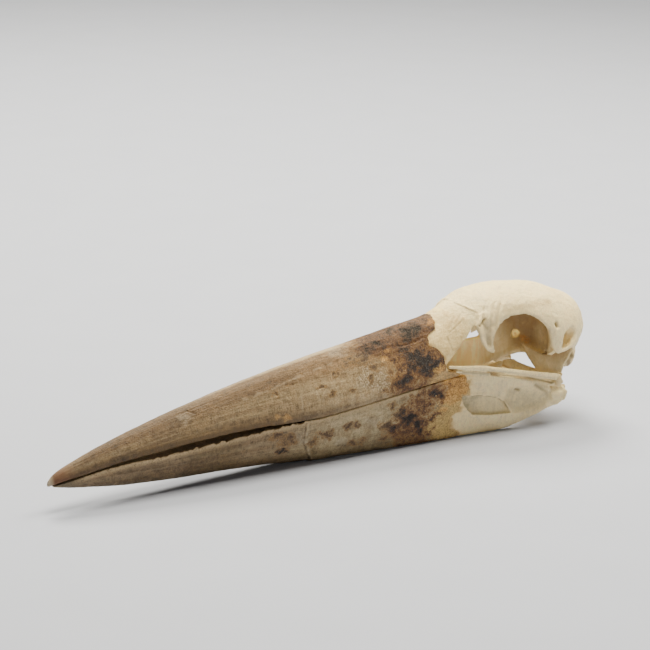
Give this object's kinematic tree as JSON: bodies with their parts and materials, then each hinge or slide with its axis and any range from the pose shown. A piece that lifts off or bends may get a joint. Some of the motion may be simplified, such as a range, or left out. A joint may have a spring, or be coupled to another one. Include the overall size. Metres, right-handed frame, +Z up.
{
  "type": "marabou stork skull",
  "caption": "Stork skull with a long wedge-shaped, horn-covered bill, bare nasal bones, domed braincase and open eye sockets, lying on its lower jaw.",
  "frame": {"origin": "middle of the skull's box, on the surface that it lies on", "axes": "+X from the bill tip to the back of the head, +Y to the bird's right, +Z up"},
  "size_m": [0.38, 0.0652, 0.0894],
  "materials": {
    "horn": "weathered grey-tan horn, stained brown and black at its rear edge",
    "bone": "clean dry bone, cream white, slightly satin"
  },
  "bodies": {
    "root": {"upper_bill": "horn", "lower_bill": "horn", "lower_bill_left": "horn", "lower_bill_right": "horn", "nasal_bones": "bone", "cranium": "bone", "lacrimal_left": "bone", "lacrimal_right": "bone", "jugal_left": "bone", "jugal_right": "bone", "quadrate_left": "bone", "quadrate_right": "bone", "pterygoid_left": "bone", "pterygoid_right": "bone", "palatine_left": "bone", "palatine_right": "bone", "mandible_left": "bone", "mandible_right": "bone"}
  },
  "joints": []
}
